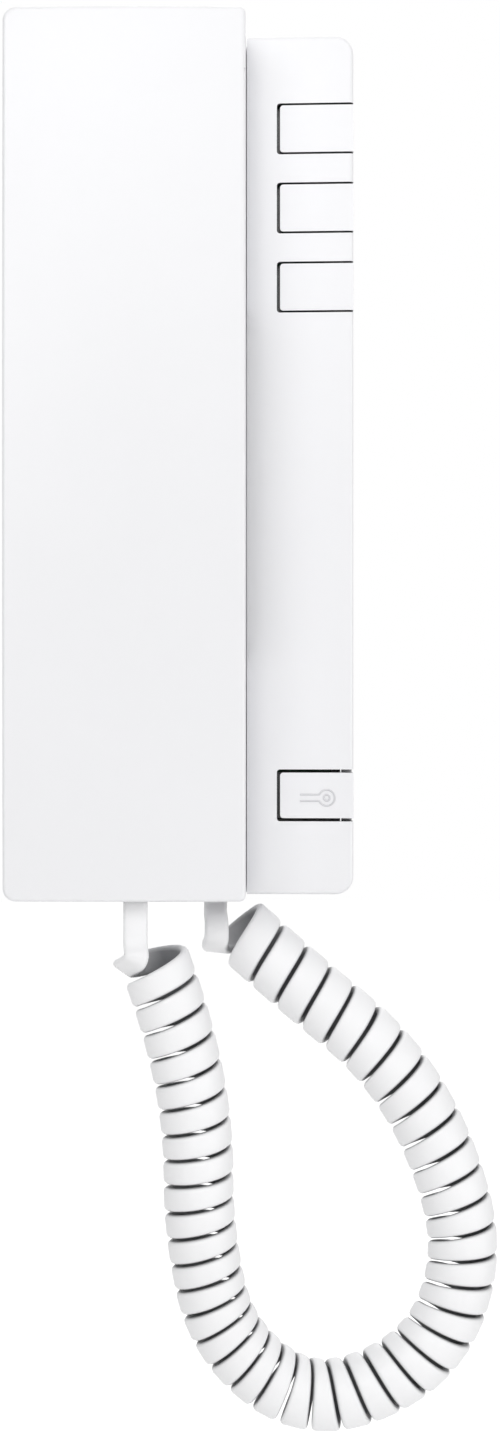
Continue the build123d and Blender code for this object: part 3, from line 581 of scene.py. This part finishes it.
# The points of the leads and of the route are in millimetres. Each lead runs from its plug, and the route
# from the handset's lead to the base's
cordShape = {
    "outerRadius": 8.7 * mm,
    "thickness": 2.2 * mm,
    "gapShare": 0.1,  # of the pitch, between two turns
    "narrowGap": 0.55 * mm,  # no gap is narrower than this
    "turns": 42.65,
    "startAngle": 235.0,  # degrees from the back, at the handset's end
    "stepsPerTurn": 36,  # a lead has as many sections as a turn
    "leadWidth": 6.0 * mm,
    "settlingSteps": 14,  # sections over which a lead settles on the coil
    "edgePoints": 6,  # corners of each round edge
    "leastFlat": 0.1 * mm,
    "insideShadeFade": 2,  # how quickly the painted shade inside the coil fades out round the edges
    "handsetLead": [
        (-11.1, -35.5, -107.0), (-11.1, -35.5, -113.0), (-11.1, -36.0, -118.5), (-10.4, -38.8, -121.7)],
    "baseLead": [
        (7.9, -7.1, -107.0), (7.9, -7.1, -110.5), (7.9, -12.0, -112.5), (8.3, -18.5, -113.5),
        (8.4, -19.8, -118.3), (7.7, -16.3, -119.85)],
    "pitchShares": [1.07, 1.02, 0.97, 0.92, 0.84, 0.87, 0.94, 0.95, 0.94, 1.0, 1.08, 1.16, 1.26],
}

cordRoute = [
    (-7.3, -29.0, -121.2),
    (-1.5, -28.5, -136.5),
    (4.0, -27.0, -163.0),
    (4.0, -26.0, -190.0),
    (10.0, -25.0, -217.5),
    (32.5, -23.5, -234.5),
    (61.5, -21.5, -223.0),
    (72.0, -19.0, -198.0),
    (65.0, -17.0, -170.5),
    (51.0, -15.0, -147.5),
    (29.0, -12.5, -130.0),
    (13.0, -10.5, -115.7),
]


# Points of the smooth line that a row of control points pulls
def splinePoints(controls, steps=32):
    curve = bpy.data.curves.new("route", "CURVE")
    curve.dimensions = "3D"
    spline = curve.splines.new("NURBS")
    spline.points.add(len(controls) - 1)
    for point, control in zip(spline.points, controls):
        point.co = (*control, 1)
    spline.order_u = 3
    spline.use_endpoint_u = True
    spline.resolution_u = steps
    drawn = bpy.data.objects.new("route", curve)
    mesh = bpy.data.meshes.new_from_object(drawn)
    points = [vertex.co.copy() for vertex in mesh.vertices]
    bpy.data.objects.remove(drawn)
    bpy.data.meshes.remove(mesh)
    return points


# A line that is asked for places by their share of its length
class Line:
    def __init__(self, points):
        self.points = points
        self.runs = [0.0]
        for a, b in zip(points, points[1:]):
            self.runs.append(self.runs[-1] + (b - a).length)
        self.at = 0

    def place(self, share):
        reach = share * self.runs[-1]
        while self.at > 0 and self.runs[self.at] > reach:
            self.at -= 1
        while self.at < len(self.points) - 2 and self.runs[self.at + 1] < reach:
            self.at += 1
        a, b = self.points[self.at], self.points[self.at + 1]
        part = (reach - self.runs[self.at]) / (self.runs[self.at + 1] - self.runs[self.at])
        return a.lerp(b, part)

    def direction(self, share, step=0.004):
        return (self.place(min(share + step, 1.0)) - self.place(max(share - step, 0.0))).normalized()


# Value at a share of the way along a row of evenly spaced values
def shareOf(table, share):
    spot = share * (len(table) - 1)
    i = min(int(spot), len(table) - 2)
    return table[i] + (table[i + 1] - table[i]) * (spot - i)


# From 0 to 1, slow at both ends
def smooth(share):
    return share * share * (3 - 2 * share)


# Middle of the ribbon along the coil, with the coil's direction and the way out from its axis
def helixPoints(route, shape):
    steps = round(shape["turns"] * shape["stepsPerTurn"])
    weights = [shareOf(shape["pitchShares"], (i + 0.5) / steps) for i in range(steps)]
    radius = shape["outerRadius"] - shape["thickness"] / 2
    line, run = [], 0.0
    for i in range(steps + 1):
        share = run / sum(weights)
        forward = route.direction(share)
        back = (Vector((0, 1, 0)) - forward * forward.y).normalized()
        angle = math.radians(shape["startAngle"]) + math.tau * i / shape["stepsPerTurn"]
        outward = back * math.cos(angle) + forward.cross(back) * math.sin(angle)
        line.append((route.place(share) + outward * radius, forward, outward))
        run += weights[min(i, steps - 1)]
    return line


# Sections of the coil: middle, direction of the width, way out and width, from the turns on either side
def helixSections(line, shape):
    turn, sections = shape["stepsPerTurn"], []
    for i, (middle, forward, outward) in enumerate(line):
        ahead = line[i + turn][0] - middle if i + turn < len(line) else None
        behind = middle - line[i - turn][0] if i >= turn else forward * ahead.length
        ahead = ahead or forward * behind.length
        along = (ahead + behind).normalized()
        outward = (outward - along * outward.dot(along)).normalized()
        step = min(ahead.length, behind.length)
        width = step - max(step * shape["gapShare"], shape["narrowGap"])
        sections.append((middle, along, outward, width))
    return sections


# A flat cord bends over its flat side only, so the direction of its width is carried on without turning
def carriedWidths(points, side):
    directions = [(b - a).normalized() for a, b in zip(points, points[1:])]
    directions.append(directions[-1])
    widths = [side]
    for a, b in zip(directions, directions[1:]):
        widths.append((a.rotation_difference(b) @ widths[-1]).normalized())
    return directions, widths


# A lead hangs out of its plug and curls into the coil; the first part of a turn then settles on the coil.
# The sections run from the plug, and facing says which side of the cord looks out there.
def joinLead(pulls, coil, side, facing, shape):
    route = Line(splinePoints([Vector(p) * mm for p in pulls] + [coil[0][0]]))
    count, settling = shape["stepsPerTurn"], shape["settlingSteps"]
    middles = [route.place(i / count) for i in range(count)]
    middles += [section[0] for section in coil[:settling + 1]]
    directions, widths = carriedWidths(middles, side)
    sections = []
    for i in range(count + settling):
        widened = smooth(max(0.0, (i - count / 2) / (count / 2 + settling)))
        settled = smooth(max(0.0, (i - count) / settling))
        coiled = coil[max(0, i - count)]
        along = (widths[i] * (1 - settled) + coiled[1] * settled).normalized()
        along = (along - directions[i] * along.dot(directions[i])).normalized()
        width = shape["leadWidth"] + (coiled[3] - shape["leadWidth"]) * widened
        sections.append((middles[i], along, directions[i].cross(along) * facing, width))
    return sections + coil[settling:]


# All sections, from the handset's plug to the base's
def cordSections(shape, routePoints):
    route = Line(splinePoints([Vector(p) * mm for p in routePoints]))
    coil = helixSections(helixPoints(route, shape), shape)
    joined = joinLead(shape["handsetLead"], coil, Vector((1, 0, 0)), 1, shape)
    joined = joinLead(shape["baseLead"], joined[::-1], Vector((-1, 0, 0)), -1, shape)
    return joined[::-1]


# Points round a section: how far across, how far out, and how much each lies inside the coil
def sectionOutline(shape, width):
    half, edge = shape["thickness"] / 2, shape["edgePoints"]
    flat = max(width / 2 - half, shape["leastFlat"])
    outline = []
    for side in (1, -1):
        for i in range(edge):
            angle = side * (math.pi * i / (edge - 1) - math.pi / 2)
            across, deep = side * (flat + half * math.cos(angle)), math.sin(angle)
            mark = min(1.0, max(0.0, 0.5 - 0.5 * deep)) ** shape["insideShadeFade"]
            outline.append((across, deep * half, mark))
    return outline


# Flat cord with round edges; coilInsideShade marks the side that lies inside the coil, and not on the
# leads, which gets a painted darker shade
def makeCord(shape, sections):
    form = bmesh.new()
    rows, marks = [], []
    last, leadSteps = len(sections) - 1, shape["stepsPerTurn"]
    for spot, (middle, along, outward, width) in enumerate(sections):
        fromEnd = min(spot, last - spot)
        wound = min(1.0, max(0.0, (fromEnd - leadSteps) / shape["settlingSteps"]))
        row = []
        for across, deep, mark in sectionOutline(shape, width):
            row.append(form.verts.new(middle + along * across + outward * deep))
            marks.append(mark * wound)
        rows.append(row)
    for a, b in zip(rows, rows[1:]):
        for i in range(len(a)):
            j = (i + 1) % len(a)
            form.faces.new((a[i], a[j], b[j], b[i]))
    form.faces.new(rows[0])
    form.faces.new(reversed(rows[-1]))
    bmesh.ops.recalc_face_normals(form, faces=form.faces)
    for face in form.faces:
        face.smooth = len(face.verts) == 4
    mesh = bpy.data.meshes.new("curlyCord")
    form.to_mesh(mesh)
    form.free()
    mesh.attributes.new("coilInsideShade", "FLOAT", "POINT").data.foreach_set("value", marks)
    piece = newPiece("curlyCord", mesh, "cord_pvc")
    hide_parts("curly_cord")
    return piece


# The cord's place is baked into its points, and its length is given back. A share for each row of points
# falls with the cord's own length, because its two ends leave the station side by side; it is worked out
# but not used
def followHandset(piece, sections):
    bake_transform(piece)
    runs = Line([section[0] for section in sections]).runs
    rowSize = len(piece.data.vertices) // len(sections)
    shares = []
    for run in runs:
        shares += [smooth(1 - run / runs[-1])] * rowSize
    return runs[-1]


sections = cordSections(cordShape, cordRoute)
curlyCord = makeCord(cordShape, sections)
cordLength = followHandset(curlyCord, sections)
print("stage: cord,", round(cordLength, 3), "m,", len(curlyCord.data.vertices), "points")


# Camera, light and floor

frameSize = 36  # millimetres, along the picture's longer side

shot = {
    "eye": (16.7 * mm, -545 * mm, -64 * mm),
    "focal": 2100 / 1444 * frameSize,  # the photograph's focal length and height in its pixels
    "nearest": 10 * mm,
}

lightAim = Vector((0.0, 0.0, -0.05))
lights = {
    "key": {"place": (-0.6, -1.5, 0.55), "size": 0.9, "watts": 5.05},
    "sheen": {"place": (0.02, -1.5, 0.72), "size": 0.7, "watts": 3.7},
    "fill": {"place": (1.4, -1.2, -0.1), "size": 1.6, "watts": 8.2},
    "top": {"place": (0.1, -0.3, 1.7), "size": 1.2, "watts": 4.0},
    "back": {"place": (0.2, 1.8, 0.9), "size": 1.6, "watts": 7.0},
}
worldLight = 0.474

floorLook = {"height": -0.62, "radius": 6.0, "corners": 96, "colour": "#F4F4F4", "ownLight": 0.62}
white = (1.0, 1.0, 1.0, 1.0)


def makeLight(name, light):
    lamp = bpy.data.lights.new(name, "AREA")
    lamp.shape = "DISK"
    lamp.size = light["size"]
    lamp.energy = light["watts"]
    lampObject = bpy.data.objects.new(name, lamp)
    bpy.context.scene.collection.objects.link(lampObject)
    turn = (lightAim - Vector(light["place"])).to_track_quat("-Z", "Y")
    lampObject.matrix_world = Matrix.Translation(light["place"]) @ turn.to_matrix().to_4x4()


def eitherShader(tree, share, first, second):
    mixed = addNode(tree, "ShaderNodeMixShader", {"Fac": share})
    tree.links.new(first.outputs[0], mixed.inputs[1])
    tree.links.new(second.outputs[0], mixed.inputs[2])
    return mixed


# 1 to the eye, to mirrors and through glass, 0 to the light that falls on everything else
def seenDirectly(tree):
    rays = addNode(tree, "ShaderNodeLightPath").outputs
    seen = maths(tree, "MAXIMUM", rays["Is Camera Ray"], rays["Is Glossy Ray"])
    return maths(tree, "MAXIMUM", seen, rays["Is Transmission Ray"])


# The backdrop is plain white to the eye, and lights the object less strongly
def makeWorld(strength):
    world = bpy.data.worlds.new("studio")
    bpy.context.scene.world = world
    world.use_nodes = True
    tree = world.node_tree
    tree.nodes.clear()
    dim = addNode(tree, "ShaderNodeBackground", {"Color": white, "Strength": strength})
    plain = addNode(tree, "ShaderNodeBackground", {"Color": white, "Strength": 1.0})
    backdrop = eitherShader(tree, seenDirectly(tree), dim, plain)
    addNode(tree, "ShaderNodeOutputWorld", {"Surface": backdrop.outputs[0]})


# Pale matt paint. Part of its white is its own light to the eye, so that its far end stays as white as the
# backdrop and the object's shadow still shows on it. It is clear from below
def paleFloor(look):
    material = bpy.data.materials.new("paleFloor")
    material.use_nodes = True
    tree = material.node_tree
    tree.nodes.clear()
    matt = addNode(tree, "ShaderNodeBsdfDiffuse", {"Color": hexColour(look["colour"])})
    own = addNode(tree, "ShaderNodeEmission", {"Color": white, "Strength": look["ownLight"]})
    lit = addNode(tree, "ShaderNodeAddShader")
    tree.links.new(matt.outputs[0], lit.inputs[0])
    tree.links.new(own.outputs[0], lit.inputs[1])
    painted = eitherShader(tree, seenDirectly(tree), matt, lit)
    below = addNode(tree, "ShaderNodeNewGeometry").outputs["Backfacing"]
    sided = eitherShader(tree, below, painted, addNode(tree, "ShaderNodeBsdfTransparent"))
    addNode(tree, "ShaderNodeOutputMaterial", {"Surface": sided.outputs[0]})
    return material


# Lies well below the hanging cord
def makeFloor(look):
    form = bmesh.new()
    bmesh.ops.create_circle(form, cap_ends=True, segments=look["corners"], radius=look["radius"],
                            matrix=Matrix.Translation((0, 0, look["height"])))
    mesh = bpy.data.meshes.new("floor")
    form.to_mesh(mesh)
    form.free()
    floor = bpy.data.objects.new("floor", mesh)
    bpy.context.scene.collection.objects.link(floor)
    mesh.materials.append(paleFloor(look))


def makeCamera():
    camera = bpy.data.cameras.new("camera")
    camera.sensor_width = frameSize
    camera.sensor_fit = "AUTO"
    camera.lens = shot["focal"]
    camera.clip_start = shot["nearest"]
    cameraObject = bpy.data.objects.new("camera", camera)
    bpy.context.scene.collection.objects.link(cameraObject)
    cameraObject.location = shot["eye"]
    cameraObject.rotation_euler = (math.pi / 2, 0, 0)
    bpy.context.scene.camera = cameraObject


for lightName, light in lights.items():
    makeLight(lightName, light)
makeWorld(worldLight)
makeFloor(floorLook)
makeCamera()
bpy.context.scene.view_settings.view_transform = "Standard"
print("stage: camera, light and floor")
